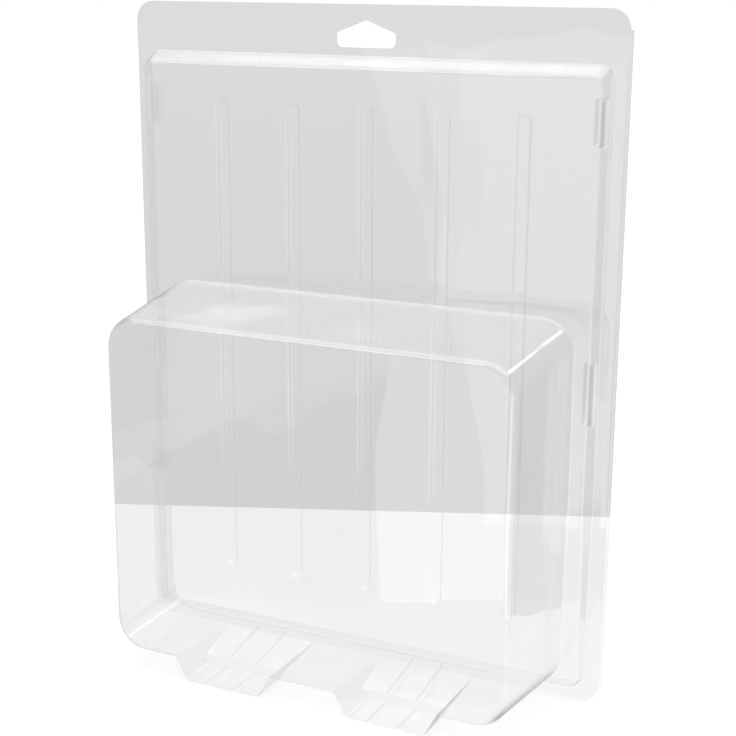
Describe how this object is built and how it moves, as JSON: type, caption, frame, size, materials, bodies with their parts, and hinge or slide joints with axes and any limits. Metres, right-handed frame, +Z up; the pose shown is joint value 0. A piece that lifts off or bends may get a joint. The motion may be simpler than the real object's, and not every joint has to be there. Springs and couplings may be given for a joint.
{
  "type": "pvc display box",
  "caption": "Clear thermoformed PVC display pack: ribbed back door on a live hinge, shallow tray with a deep bubble on moulded feet, and a header with a house-shaped hang hole.",
  "frame": {"origin": "under the middle of the closed pack, on the surface that the feet and the flange's lower edge stand on", "axes": "+X to the viewer's right, towards the live hinge; +Y to the back, through the flat door; +Z up, towards the hang hole"},
  "size_m": [0.2634, 0.0742, 0.338],
  "materials": {
    "front_film": "clear glossy PVC sheet",
    "door_film": "clear glossy PVC sheet"
  },
  "bodies": {
    "front": {"front_shell": "front_film"},
    "door": {"back_door": "door_film"}
  },
  "joints": [
    {"name": "door_hinge", "type": "hinge", "parent": "front", "child": "door", "pos_m": [0.13078, 0.03455, 0.169], "axis": [0, 0, -1], "range_deg": [0, 180]}
  ]
}
